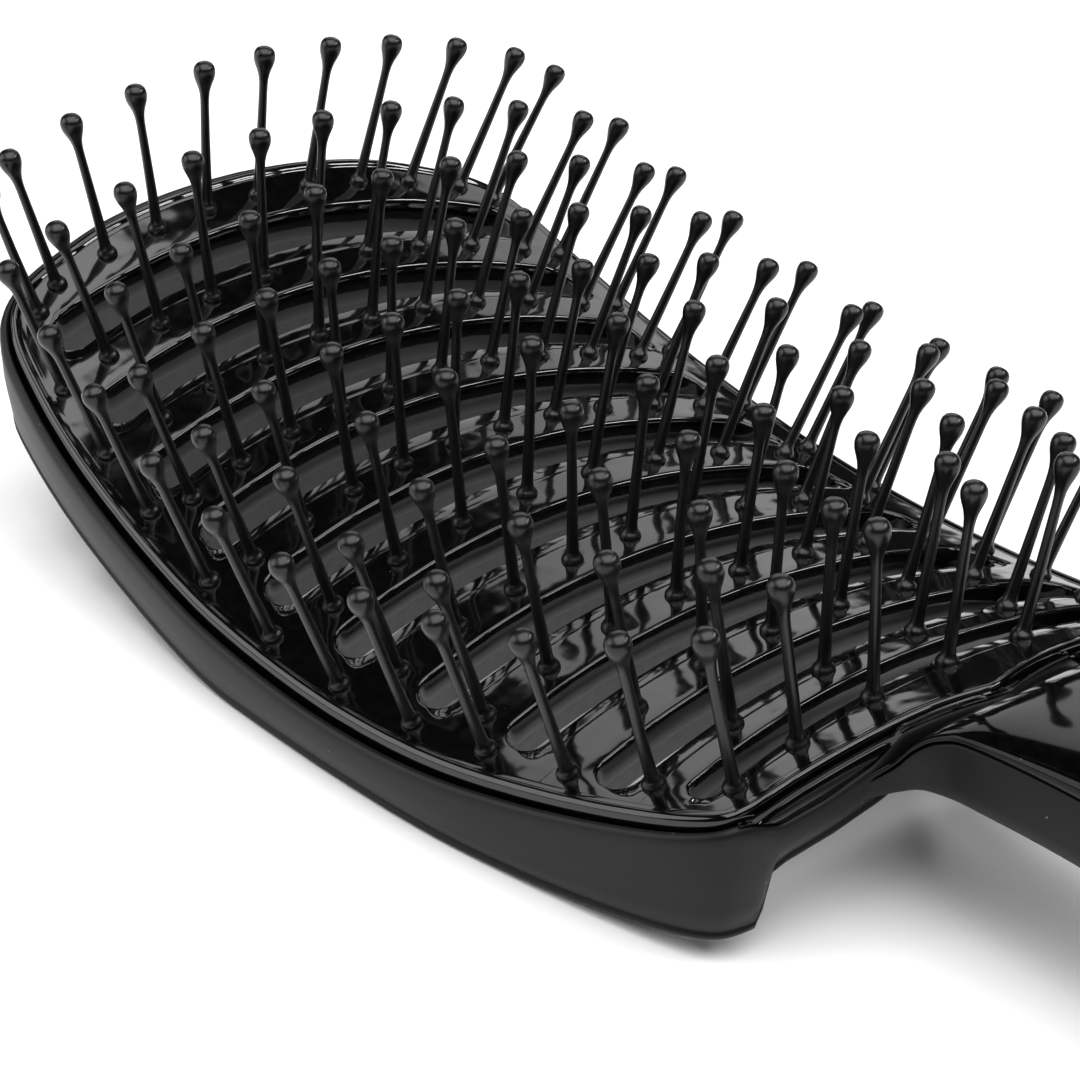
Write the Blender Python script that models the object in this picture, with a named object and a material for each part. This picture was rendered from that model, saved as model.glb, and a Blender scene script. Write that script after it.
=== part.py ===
"""Curved vent hairbrush, lying on its back with its pins up.

+X runs from the tip of the head to the handle, +Y goes across and +Z up from the surface that the brush
lies on. The origin is under the middle of the whole brush. Inside the script a place is given from the
head's tip, and one empty carries every part back to the origin. Lengths are in metres.
"""

import math

import bmesh
import bpy
from mathutils import Matrix, Vector

MM = 0.001

# Driving dimensions
BRUSH_LENGTH = 235 * MM
HEAD_LENGTH = 104.4 * MM
HEAD_HALF_WIDTH = 35.6 * MM
SHEET_HEIGHT = 11.3 * MM
SHEET_LONG_RADIUS = 144.7 * MM
SHEET_CROSS_RADIUS = 115.6 * MM
BAR_RADIUS = 161.8 * MM

# Pin plate
BORDER_THICKNESS = 1.6 * MM
LEDGE_DROP = 0.25 * MM
RIB_THICKNESS = 1.75 * MM
RIB_DEEPENING = 2.2 * MM
RIB_SINK = 0.15 * MM
RIB_OVERLAP = 1.6 * MM
CAP_THICKNESS = 0.8 * MM
BEAD_WIDTH = 0.8 * MM
BEAD_HEIGHT = 0.15 * MM
EDGE_BAND = 6.4 * MM

# Pins
PIN_LENGTH = 15.0 * MM
BALL_RADIUS = 1.1 * MM
NECK_RADIUS = 0.42 * MM
ROOT_RADIUS = 0.58 * MM
COLLAR_RADIUS = 1.0 * MM
COLLAR_HEIGHT = 0.7 * MM
PIN_SINK = 0.35 * MM
WELD_DISTANCE = 0.01 * MM
PIN_RAKE = math.radians(3.5)
PIN_SPLAY_DEPTH = 66 * MM
EDGE_STRIP_OUTSIDE = 1.1 * MM
EDGE_STRIP_INSIDE = 1.6 * MM
EDGE_STRIP_END = 1.1 * MM

# Lower shell
WALL = 2.0 * MM
LIP_WIDTH = 0.8 * MM
LIP_DROP = 0.6 * MM
LIP_ROUND = 0.5 * MM
WALL_LEAN = 0.8 * MM
LEDGE_REACH = 3.4 * MM
SEAT_THICKNESS = 1.4 * MM
TIP_LIFT = 13.0 * MM
END_LIFT = 2.2 * MM
NECK_ARCH_HEIGHT = 10.9 * MM
END_SEAM_HEIGHT = 11.5 * MM
END_SEAM_HALF_WIDTH = 22.4 * MM
END_LIP_MARGIN = 0.6 * MM
SHOULDER_ARCH_HEIGHT = 8.0 * MM
SHOULDER_ARCH_HALF_WIDTH = 22.6 * MM

# Handle
HANDLE_HALF_WIDTH = 11.5 * MM
HANDLE_DEPTH = 8.9 * MM
NECK_HEIGHT = 10.7 * MM
COVER_RISE = 4.2 * MM
HANDLE_EDGE = 2.4 * MM

# Clearances
GAP = 0.3 * MM
CUT_OVERRUN = 4 * MM

# Half outline of the head, as shares of its length and of its half width, from the tip round to the handle
OUTLINE_SHARES = (
    (0.000, 0.00),
    (0.002, 0.24),
    (0.008, 0.46),
    (0.020, 0.64),
    (0.031, 0.76),
    (0.046, 0.84),
    (0.068, 0.89),
    (0.110, 0.93),
    (0.220, 0.972),
    (0.390, 0.998),
    (0.480, 1.00),
    (0.610, 0.985),
    (0.720, 0.955),
    (0.815, 0.905),
    (0.905, 0.845),
    (0.960, 0.798),
    (0.989, 0.750),
    (0.999, 0.680),
    (1.000, 0.560),
    (1.001, 0.400),
    (1.008, 0.260),
    (1.027, 0.130),
    (1.043, 0.000),
)

# Widths along the head, as shares of its length
SLOT_SHARE = 0.0393
LAST_SLOT_SHARE = 0.0249
LEDGE_SHARE = 0.0163
FIRST_CAP_SHARE = 0.0359
END_CAP_SHARE = 0.0345
ROW_SETBACK_SHARE = 0.0263

# Handle side edge of each of the ten bars that a slot follows, as shares of the head's length from its tip
BAR_EDGE_SHARES = (0.065, 0.156, 0.242, 0.331, 0.425, 0.521, 0.625, 0.726, 0.825, 0.906)

# Each row's pins: how many, then as shares of the half width how far the outermost stands out and the
# whole row is moved across
ROW_PIN_COUNTS = (9, 9, 9, 10, 10, 8, 9, 8, 6, 4, 5)
ROW_REACH_SHARES = (0.690, 0.708, 0.715, 0.758, 0.758, 0.758, 0.768, 0.735, 0.553, 0.450, 0.487)
ROW_SHIFT_SHARES = (0, 0.012, 0.022, -0.022, -0.022, 0.022, 0, -0.010, 0.031, 0, 0.049)
LAST_ROW_SHARE = 0.944
CAP_REACH_SHARES = (0.716, 0.770, 0.785, 0.805, 0.810, 0.810, 0.805, 0.768, 0.700, 0.615, 0.570)

# Edge pins on one side, as shares of the head's length and half width
EDGE_PIN_SHARES = (
    (0.074, 0.778),
    (0.156, 0.848),
    (0.238, 0.868),
    (0.317, 0.885),
    (0.417, 0.902),
    (0.508, 0.899),
    (0.597, 0.890),
    (0.680, 0.862),
    (0.755, 0.823),
    (0.832, 0.776),
    (0.899, 0.706),
    (0.956, 0.632),
)

# Handle: place along it from the head's end, then as shares of their full sizes its half width, lower edge,
# depth up to the seam, and the rise of its cover above the seam
HANDLE_SHARES = (
    (-0.003, 1.24, 0.98, 0.11, 0.30),
    (0.007, 1.00, 1.00, 0.27, 0.30),
    (0.0145, 0.905, 1.00, 0.45, 0.28),
    (0.0276, 0.835, 1.00, 0.60, 0.26),
    (0.0505, 0.790, 1.00, 0.68, 0.32),
    (0.127, 0.720, 0.98, 0.72, 0.55),
    (0.226, 0.730, 0.93, 0.77, 0.75),
    (0.370, 0.820, 0.77, 0.85, 0.90),
    (0.541, 0.940, 0.46, 0.93, 1.00),
    (0.712, 1.000, 0.16, 0.98, 1.00),
    (0.847, 0.960, 0.01, 1.00, 0.98),
    (0.928, 0.820, 0.00, 0.98, 0.90),
    (0.975, 0.560, 0.06, 0.92, 0.70),
    (1.000, 0.240, 0.16, 0.84, 0.45),
)
COVER_ARC_SHARES = ((1.0, 0.0), (0.98, 0.42), (0.80, 0.78), (0.45, 0.97))

# Other shares, each of the size beside which it is used
LOWEST_SHARE = 0.639
FLAT_START_SHARE = 0.48
FLAT_END_SHARE = 0.735
BEAD_CROWN_SHARE = 0.5
BALL_DROP_SHARE = 1.75
BALL_SHOULDER_SHARE = 0.7
EDGE_LIMIT_SHARE = 0.45
EDGE_CUT_SHARE = 0.3
KEEP_SHARE = 0.85
END_SHARE = 0.975
ARCH_START_SHARE = 0.93
ARCH_LENGTH_SHARE = 0.2
ARCH_CORNER_SHARE = 0.86
ARCH_CORNER_OUT_SHARE = 0.95
ARCH_SHOULDER_SHARE = 0.68
ARCH_RISE_SHARE = 0.5
ARCH_NECK_SHARE = 0.38

# Values that follow from the sizes above
STRIP_DEPTH = CAP_THICKNESS + GAP
LOWEST_X = HEAD_LENGTH * LOWEST_SHARE
FLAT_START = HEAD_LENGTH * FLAT_START_SHARE
FLAT_END = HEAD_LENGTH * FLAT_END_SHARE
SLOT_WIDTH = HEAD_LENGTH * SLOT_SHARE
LAST_SLOT_WIDTH = HEAD_LENGTH * LAST_SLOT_SHARE
LEDGE_WIDTH = HEAD_LENGTH * LEDGE_SHARE
FIRST_CAP_WIDTH = HEAD_LENGTH * FIRST_CAP_SHARE
END_CAP_WIDTH = HEAD_LENGTH * END_CAP_SHARE
ROW_SETBACK = HEAD_LENGTH * ROW_SETBACK_SHARE

OUTLINE_STATIONS = 38
BAR_STATIONS = 13
EDGE_STATIONS = 22
PIN_SIDES = 6
TIP_LIFT_POWER = 1.4
END_LIFT_POWER = 2.0
SHARP_ANGLE = math.radians(35)


def clear_scene():
    for item in list(bpy.data.objects):
        bpy.data.objects.remove(item, do_unlink=True)


def new_collection(name):
    group = bpy.data.collections.new(name)
    bpy.context.scene.collection.children.link(group)
    return group


def new_material(name, colour, roughness):
    material = bpy.data.materials.new(name)
    material.use_nodes = True
    shader = material.node_tree.nodes["Principled BSDF"]
    shader.inputs["Base Color"].default_value = (*colour, 1)
    shader.inputs["Roughness"].default_value = roughness
    shader.inputs["Metallic"].default_value = 0
    return material


def smooth_curve(points, samples):
    """Points at even steps along a smooth curve that passes through the given points."""
    padded = [points[0] * 2 - points[1], *points, points[-1] * 2 - points[-2]]
    dense = []
    for index in range(1, len(padded) - 2):
        before, start, end, after = padded[index - 1:index + 3]
        for step in range(samples):
            t = step / samples
            bend = (end - before) * t + (before * 2 - start * 5 + end * 4 - after) * t ** 2
            bend += (start * 3 - before - end * 3 + after) * t ** 3
            dense.append(start + bend / 2)
    dense.append(points[-1])
    lengths = [0]
    for first, second in zip(dense, dense[1:]):
        lengths.append(lengths[-1] + (second - first).length)
    even = []
    index = 0
    for step in range(samples + 1):
        wanted = lengths[-1] * step / samples
        while index < len(dense) - 2 and lengths[index + 1] < wanted:
            index += 1
        span = lengths[index + 1] - lengths[index]
        even.append(dense[index].lerp(dense[index + 1], (wanted - lengths[index]) / span))
    return even


def sheet(x, y):
    """Height of the pin plate's curved face: an arc along the head, less an arc across it."""
    along = SHEET_LONG_RADIUS - math.sqrt(SHEET_LONG_RADIUS ** 2 - (x - LOWEST_X) ** 2)
    across = SHEET_CROSS_RADIUS - math.sqrt(SHEET_CROSS_RADIUS ** 2 - y ** 2)
    return SHEET_HEIGHT + along - across


def lower_edge(x):
    """Height of the lower shell's edge: flat under its middle and lifted towards both ends."""
    before = max(0, FLAT_START - x) / FLAT_START
    after = max(0, x - FLAT_END) / (HEAD_LENGTH - FLAT_END)
    return TIP_LIFT * before ** TIP_LIFT_POWER + END_LIFT * after ** END_LIFT_POWER


def deepening(x):
    """How much deeper the plate's bars reach where the face slopes up to the tip."""
    return RIB_DEEPENING * max(0, 1 - x / LOWEST_X)


def head_outline():
    """Closed plan outline of the head with the outward direction at each point."""
    half = [Vector((HEAD_LENGTH * along, HEAD_HALF_WIDTH * out)) for along, out in OUTLINE_SHARES]
    half = smooth_curve(half, OUTLINE_STATIONS)
    mirrored = [Vector((point.x, -point.y)) for point in reversed(half[1:-1])]
    loop = half + mirrored
    stations = []
    for index, point in enumerate(loop):
        along = loop[(index + 1) % len(loop)] - loop[index - 1]
        stations.append((point, Vector((-along.y, along.x)).normalized()))
    return stations


def on_sheet(plan, drop):
    return Vector((plan.x, plan.y, sheet(plan.x, plan.y) - drop))


def loft(name, rings, closed=False):
    """One closed body through rings of like points, capped at its ends unless the path closes."""
    body = bmesh.new()
    rows = [[body.verts.new(point) for point in ring] for ring in rings]
    count = len(rows[0])
    spans = len(rows) if closed else len(rows) - 1
    for index in range(spans):
        first = rows[index]
        second = rows[(index + 1) % len(rows)]
        for side in range(count):
            after = (side + 1) % count
            body.faces.new((first[side], first[after], second[after], second[side]))
    if not closed:
        body.faces.new(rows[0])
        body.faces.new(rows[-1])
    bmesh.ops.recalc_face_normals(body, faces=body.faces)
    return to_object(name, body)


def to_object(name, body):
    mesh = bpy.data.meshes.new(name)
    body.to_mesh(mesh)
    body.free()
    item = bpy.data.objects.new(name, mesh)
    item.parent = root
    return item


def as_part(item, material):
    item.data.materials.append(material)
    parts.objects.link(item)
    item.data.shade_smooth()
    item.data.set_sharp_from_angle(angle=SHARP_ANGLE)
    return item


def as_tool(item):
    item.hide_render = True
    item.display_type = "WIRE"
    tools.objects.link(item)
    return item


def combine(item, tool, operation):
    modifier = item.modifiers.new(tool.name, "BOOLEAN")
    modifier.operation = operation
    modifier.solver = "EXACT"
    modifier.object = tool


def prism(name, outline, low, high):
    body = bmesh.new()
    base = body.faces.new([body.verts.new((point.x, point.y, low)) for point in outline])
    raised = bmesh.ops.extrude_face_region(body, geom=[base])
    top = [item for item in raised["geom"] if isinstance(item, bmesh.types.BMVert)]
    bmesh.ops.translate(body, verts=top, vec=(0, 0, high - low))
    bmesh.ops.recalc_face_normals(body, faces=body.faces)
    return to_object(name, body)


def bar_curve(edge_x, y):
    """Plan place on an arched bar that crosses the centre line at edge_x."""
    return Vector((edge_x + y ** 2 / (2 * BAR_RADIUS), y))


def across(reach, steps):
    return [reach * (2 * step / steps - 1) for step in range(steps + 1)]


def pin_direction(y):
    return Vector((math.tan(PIN_RAKE), y / PIN_SPLAY_DEPTH, 1)).normalized()


def pin_profile():
    """Radius and height of a pin's outline, from its sunk collar to the top of its ball."""
    return (
        (0, -PIN_SINK),
        (COLLAR_RADIUS, -PIN_SINK),
        (COLLAR_RADIUS, COLLAR_HEIGHT),
        (ROOT_RADIUS, COLLAR_HEIGHT),
        (NECK_RADIUS, PIN_LENGTH - BALL_RADIUS * BALL_DROP_SHARE),
        (BALL_RADIUS, PIN_LENGTH),
        (BALL_RADIUS * BALL_SHOULDER_SHARE, PIN_LENGTH + BALL_RADIUS * BALL_SHOULDER_SHARE),
        (0, PIN_LENGTH + BALL_RADIUS),
    )


def add_pin(body, place, direction):
    """A turned pin with a round collar, a thin tapered shaft and a ball tip."""
    pin = bmesh.new()
    corners = [pin.verts.new((radius, 0, height)) for radius, height in pin_profile()]
    edges = [pin.edges.new(pair) for pair in zip(corners, corners[1:])]
    bmesh.ops.spin(pin, geom=corners + edges, cent=(0, 0, 0), axis=(0, 0, 1), angle=math.tau, steps=PIN_SIDES)
    bmesh.ops.remove_doubles(pin, verts=pin.verts, dist=WELD_DISTANCE)
    turn = direction.to_track_quat("Z", "Y").to_matrix().to_4x4()
    bmesh.ops.transform(pin, matrix=Matrix.Translation(place) @ turn, verts=pin.verts)
    mesh = bpy.data.meshes.new("pin")
    pin.to_mesh(mesh)
    pin.free()
    body.from_mesh(mesh)
    bpy.data.meshes.remove(mesh)


def pin_group(name, places):
    body = bmesh.new()
    for plan in places:
        add_pin(body, on_sheet(plan, 0), pin_direction(plan.y))
    bmesh.ops.recalc_face_normals(body, faces=body.faces)
    return as_tool(to_object(name, body))


def plate_ring():
    """Closed border of the pin plate: a raised outer bead and a sunk floor for the pin strips."""
    outer_inset = LIP_WIDTH + GAP
    bead_inset = outer_inset + BEAD_WIDTH
    bottom = STRIP_DEPTH + BORDER_THICKNESS
    rings = []
    for (point, outward), inner in zip(outline, slot_field()):
        edge = point - outward * outer_inset
        crown = point - outward * (outer_inset + BEAD_WIDTH * BEAD_CROWN_SHARE)
        step = point - outward * bead_inset
        off_seat = point - outward * (LEDGE_REACH + GAP)
        rings.append((
            on_sheet(off_seat, bottom),
            on_sheet(edge, bottom),
            on_sheet(edge, BEAD_HEIGHT * 2),
            on_sheet(crown, -BEAD_HEIGHT),
            on_sheet(step, 0),
            on_sheet(step, STRIP_DEPTH),
            on_sheet(inner, STRIP_DEPTH),
            on_sheet(inner, bottom + deepening(inner.x)),
        ))
    return loft("pin_plate", rings, closed=True)


def slot_field():
    """Inner edge of the plate's border, one place for each outline station."""
    first_edge = HEAD_LENGTH * BAR_EDGE_SHARES[0]
    last_edge = HEAD_LENGTH * BAR_EDGE_SHARES[-1] + LAST_SLOT_WIDTH
    middle = (first_edge + last_edge) / 2
    places = []
    for point, outward in outline:
        inner = point - outward * EDGE_BAND
        reach = abs(inner.y)
        curve = reach ** 2 / (2 * BAR_RADIUS)
        if point.x < middle:
            inner.x = max(inner.x, first_edge + curve)
        else:
            inner.x = min(inner.x, last_edge + curve)
        places.append(inner)
    return places


def rib_group():
    """The nine bars between the border's ends, each with a ledge that stops short of its pins' collars."""
    group = bmesh.new()
    for index in range(1, len(BAR_EDGE_SHARES)):
        low_x = HEAD_LENGTH * BAR_EDGE_SHARES[index - 1] + SLOT_WIDTH
        high_x = HEAD_LENGTH * BAR_EDGE_SHARES[index]
        seat = STRIP_DEPTH + RIB_SINK
        bottom = seat + RIB_THICKNESS + deepening(low_x)
        step_x = min(low_x + LEDGE_WIDTH, high_x - ROW_SETBACK - COLLAR_RADIUS) - GAP
        reach = HEAD_HALF_WIDTH * CAP_REACH_SHARES[index] + RIB_OVERLAP
        rings = []
        for y in across(reach, BAR_STATIONS):
            ledge = STRIP_DEPTH if abs(y) == reach else LEDGE_DROP
            tip_side = bar_curve(low_x, y)
            step = bar_curve(step_x, y)
            handle_side = bar_curve(high_x, y)
            rings.append((
                on_sheet(tip_side, ledge),
                on_sheet(step, ledge),
                on_sheet(step, seat),
                on_sheet(handle_side, seat),
                on_sheet(handle_side, bottom),
                on_sheet(tip_side, bottom),
            ))
        rib = loft("rib", rings)
        group.from_mesh(rib.data)
        bpy.data.objects.remove(rib)
    return as_tool(to_object("plate_ribs", group))


def make_plate():
    plate = as_part(plate_ring(), gloss)
    combine(plate, rib_group(), "UNION")


def row_edges(index):
    """Tip side and handle side of a pin strip's cap on the centre line."""
    if index == 0:
        high = HEAD_LENGTH * BAR_EDGE_SHARES[0]
        return high - FIRST_CAP_WIDTH, high
    if index == len(BAR_EDGE_SHARES):
        low = HEAD_LENGTH * BAR_EDGE_SHARES[-1] + LAST_SLOT_WIDTH
        return low, low + END_CAP_WIDTH
    low = HEAD_LENGTH * BAR_EDGE_SHARES[index - 1] + SLOT_WIDTH + LEDGE_WIDTH
    return low, HEAD_LENGTH * BAR_EDGE_SHARES[index]


def make_row_strip(index):
    """One arched strip: its glossy cap with a row of pins fused to it."""
    low_x, high_x = row_edges(index)
    on_border = index in (0, len(BAR_EDGE_SHARES))
    thickness = CAP_THICKNESS if on_border else CAP_THICKNESS + RIB_SINK
    reach = HEAD_HALF_WIDTH * CAP_REACH_SHARES[index]
    rings = []
    for y in across(reach, BAR_STATIONS):
        tip_side = bar_curve(low_x, y)
        handle_side = bar_curve(high_x, y)
        rings.append((
            on_sheet(tip_side, thickness),
            on_sheet(handle_side, thickness),
            on_sheet(handle_side, 0),
            on_sheet(tip_side, 0),
        ))
    name = f"pin_row_{index + 1:02d}"
    strip = as_part(loft(name, rings), gloss.copy())
    row_x = HEAD_LENGTH * LAST_ROW_SHARE
    if index < len(BAR_EDGE_SHARES):
        row_x = high_x - ROW_SETBACK
    pins_out = HEAD_HALF_WIDTH * ROW_REACH_SHARES[index]
    moved = HEAD_HALF_WIDTH * ROW_SHIFT_SHARES[index]
    places = [bar_curve(row_x, y + moved) for y in across(pins_out, ROW_PIN_COUNTS[index] - 1)]
    combine(strip, pin_group(f"{name}_pins", places), "UNION")


def make_edge_strip(name, side):
    """The narrow strip along one side of the border, with its twelve edge pins."""
    pins = [Vector((HEAD_LENGTH * along, HEAD_HALF_WIDTH * out * side)) for along, out in EDGE_PIN_SHARES]
    start = pins[0] + (pins[0] - pins[1]).normalized() * EDGE_STRIP_END
    end = pins[-1] + (pins[-1] - pins[-2]).normalized() * EDGE_STRIP_END
    line = smooth_curve([start, *pins, end], EDGE_STATIONS)
    rings = []
    for index, point in enumerate(line):
        along = line[min(index + 1, EDGE_STATIONS)] - line[max(index - 1, 0)]
        outward = Vector((-along.y, along.x)).normalized() * side
        near = point + outward * EDGE_STRIP_OUTSIDE
        far = point - outward * EDGE_STRIP_INSIDE
        rings.append((
            on_sheet(near, CAP_THICKNESS),
            on_sheet(far, CAP_THICKNESS),
            on_sheet(far, 0),
            on_sheet(near, 0),
        ))
    strip = as_part(loft(name, rings), gloss.copy())
    combine(strip, pin_group(f"{name}_pins", pins), "UNION")


def at_end(point):
    """Whether a place on the outline lies on the end wall, where the handle's cover takes the wall's top."""
    return point.x > HEAD_LENGTH * END_SHARE and abs(point.y) < END_SEAM_HALF_WIDTH


def shell_ring():
    """Closed wall round the head, with a rebate and a seat for the pin plate."""
    seat = STRIP_DEPTH + BORDER_THICKNESS + GAP
    rings = []
    for point, outward in outline:
        floor = lower_edge(point.x)
        foot = point - outward * WALL_LEAN
        inner_foot = foot - outward * WALL
        ring = [
            Vector((inner_foot.x, inner_foot.y, floor)),
            Vector((foot.x, foot.y, floor)),
            on_sheet(point, LIP_DROP + LIP_ROUND * 2),
            on_sheet(point - outward * LIP_ROUND, LIP_DROP),
            on_sheet(point - outward * LIP_WIDTH, LIP_DROP),
            on_sheet(point - outward * LIP_WIDTH, seat),
            on_sheet(point - outward * LEDGE_REACH, seat),
            on_sheet(point - outward * LEDGE_REACH, seat + SEAT_THICKNESS),
        ]
        if at_end(point):
            tops = (0, 0, LIP_ROUND, 0, 0, GAP, GAP, SEAT_THICKNESS)
            for corner, drop in zip(ring, tops):
                corner.z = min(corner.z, END_SEAM_HEIGHT - drop)
        rings.append(ring)
    return loft("lower_shell", rings, closed=True)


def handle_station(shares):
    """Place, half width, lower edge, seam and cover rise of one handle station, as lengths."""
    place, width, low, depth, rise = shares
    x = HEAD_LENGTH + (BRUSH_LENGTH - HEAD_LENGTH) * place
    lower = NECK_HEIGHT * low
    return x, HANDLE_HALF_WIDTH * width, lower, lower + HANDLE_DEPTH * depth, COVER_RISE * rise


def handle_solid(name, inset, stations, overrun):
    """Loft of the handle's lower half, set in from its outside by the given amount."""
    rings = []
    for shares in stations:
        x, half, lower, seam, _ = handle_station(shares)
        half -= inset
        low = lower + inset
        top = seam + overrun
        edge = min(HANDLE_EDGE, half * EDGE_LIMIT_SHARE, (top - low) * EDGE_LIMIT_SHARE)
        rings.append([Vector((x, y, z)) for y, z in (
            (half, top),
            (half, low + edge),
            (half - edge * EDGE_CUT_SHARE, low + edge * EDGE_CUT_SHARE),
            (half - edge, low),
            (-half + edge, low),
            (-half + edge * EDGE_CUT_SHARE, low + edge * EDGE_CUT_SHARE),
            (-half, low + edge),
            (-half, top),
        )])
    return loft(name, rings)


def neck_arch():
    """Cutter that lifts the lower edge across the shoulders, from the corners up to the neck."""
    body = bmesh.new()
    start = HEAD_LENGTH * ARCH_START_SHARE
    half = [Vector((start, SHOULDER_ARCH_HALF_WIDTH * out, height)) for out, height in (
        (1, -CUT_OVERRUN),
        (1, SHOULDER_ARCH_HEIGHT * ARCH_CORNER_SHARE),
        (ARCH_CORNER_OUT_SHARE, SHOULDER_ARCH_HEIGHT),
        (ARCH_SHOULDER_SHARE, SHOULDER_ARCH_HEIGHT),
        (ARCH_RISE_SHARE, (SHOULDER_ARCH_HEIGHT + NECK_ARCH_HEIGHT) / 2),
        (ARCH_NECK_SHARE, NECK_HEIGHT),
    )]
    mirrored = [Vector((point.x, -point.y, point.z)) for point in reversed(half)]
    face = body.faces.new([body.verts.new(point) for point in half + mirrored])
    grown = bmesh.ops.extrude_face_region(body, geom=[face])
    moved = [item for item in grown["geom"] if isinstance(item, bmesh.types.BMVert)]
    bmesh.ops.translate(body, verts=moved, vec=(HEAD_LENGTH * ARCH_LENGTH_SHARE, 0, 0))
    bmesh.ops.recalc_face_normals(body, faces=body.faces)
    return as_tool(to_object("neck_arch", body))


def offset_outline(distance):
    return [point + outward * distance for point, outward in outline]


def make_lower_shell():
    """Ring wall, shoulders and the handle's open lower half as one body."""
    shell = as_part(shell_ring(), matte)
    combine(shell, neck_arch(), "DIFFERENCE")
    handle = as_tool(handle_solid("handle_lower_half", 0, HANDLE_SHARES, 0))
    room = offset_outline(-LIP_WIDTH * KEEP_SHARE)
    combine(handle, as_tool(prism("plate_room", room, -CUT_OVERRUN, BRUSH_LENGTH)), "DIFFERENCE")
    lip_room = offset_outline(GAP)
    combine(handle, as_tool(prism("lip_room", lip_room, END_SEAM_HEIGHT, BRUSH_LENGTH)), "DIFFERENCE")
    hollow = as_tool(handle_solid("handle_hollow", WALL, HANDLE_SHARES[1:-2], CUT_OVERRUN))
    combine(handle, hollow, "DIFFERENCE")
    combine(shell, handle, "UNION")


def end_lip():
    """The top of the end wall, which belongs to the handle's cover and goes on as the head's lip."""
    rings = []
    for point, outward in outline:
        if not at_end(point) or abs(point.y) > END_SEAM_HALF_WIDTH - END_LIP_MARGIN:
            continue
        inner = point - outward * LIP_WIDTH
        rings.append((
            Vector((point.x, point.y, END_SEAM_HEIGHT + GAP)),
            on_sheet(point, LIP_DROP + LIP_ROUND),
            on_sheet(point - outward * LIP_ROUND, LIP_DROP),
            on_sheet(inner, LIP_DROP),
            Vector((inner.x, inner.y, END_SEAM_HEIGHT + GAP)),
        ))
    return as_tool(loft("end_lip", rings))


def make_handle_cover():
    """Rounded top half of the handle, which meets the lower half at a seam and ends round the head."""
    rings = []
    for shares in HANDLE_SHARES:
        x, half, _, seam, rise = handle_station(shares)
        arc = [(half * side, seam + GAP + rise * height) for side, height in COVER_ARC_SHARES]
        arc += [(-y, z) for y, z in reversed(arc)]
        rings.append([Vector((x, y, z)) for y, z in arc])
    cover = as_part(loft("handle_cover", rings), gloss.copy())
    room = offset_outline(-LIP_WIDTH * KEEP_SHARE)
    combine(cover, as_tool(prism("cover_room", room, -CUT_OVERRUN, BRUSH_LENGTH)), "DIFFERENCE")
    combine(cover, end_lip(), "UNION")


clear_scene()
parts = new_collection("hair_grooming_brush")
tools = new_collection("cutters")
root = bpy.data.objects.new("brush_centre", None)
root.location = (-BRUSH_LENGTH / 2, 0, 0)
parts.objects.link(root)
outline = head_outline()

gloss = new_material("gloss_black", (0.012, 0.012, 0.013), 0.12)
matte = new_material("matte_black", (0.030, 0.030, 0.031), 0.55)

make_lower_shell()
make_handle_cover()
make_plate()
for row in range(len(ROW_PIN_COUNTS)):
    make_row_strip(row)
make_edge_strip("edge_pins_left", 1)
make_edge_strip("edge_pins_right", -1)
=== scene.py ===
"""Curved vent hairbrush, lying on its back on a pale floor, seen from beside its handle.

The sections follow the brush as it is put together: shell, handle, cover, pin plate and pins. The floor, the
lights and the camera come last. The CAD frame gives the brush's place and size.
"""

import math

import bmesh
import bpy
import numpy as np
from mathutils import Matrix, Vector


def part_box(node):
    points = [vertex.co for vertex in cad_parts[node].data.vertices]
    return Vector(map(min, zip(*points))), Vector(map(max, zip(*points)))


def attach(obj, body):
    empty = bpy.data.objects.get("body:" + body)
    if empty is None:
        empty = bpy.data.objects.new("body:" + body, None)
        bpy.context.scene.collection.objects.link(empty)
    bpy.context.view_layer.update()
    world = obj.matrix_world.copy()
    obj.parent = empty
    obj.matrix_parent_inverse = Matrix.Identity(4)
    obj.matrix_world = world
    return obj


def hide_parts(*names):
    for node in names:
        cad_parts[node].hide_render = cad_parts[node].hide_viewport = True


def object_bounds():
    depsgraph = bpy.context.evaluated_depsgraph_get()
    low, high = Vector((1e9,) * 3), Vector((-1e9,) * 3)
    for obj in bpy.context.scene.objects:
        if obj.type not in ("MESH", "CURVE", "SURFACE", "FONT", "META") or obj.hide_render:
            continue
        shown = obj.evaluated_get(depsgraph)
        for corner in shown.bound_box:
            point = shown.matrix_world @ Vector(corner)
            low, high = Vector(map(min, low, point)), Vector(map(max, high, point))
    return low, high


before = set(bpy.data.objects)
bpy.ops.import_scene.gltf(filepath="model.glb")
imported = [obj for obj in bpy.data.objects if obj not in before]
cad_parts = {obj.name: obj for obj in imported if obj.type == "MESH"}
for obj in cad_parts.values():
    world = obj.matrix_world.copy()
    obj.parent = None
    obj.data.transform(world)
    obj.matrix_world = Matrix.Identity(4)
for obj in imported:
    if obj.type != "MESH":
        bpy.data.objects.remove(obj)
CAD_LOW, CAD_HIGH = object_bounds()

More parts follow.
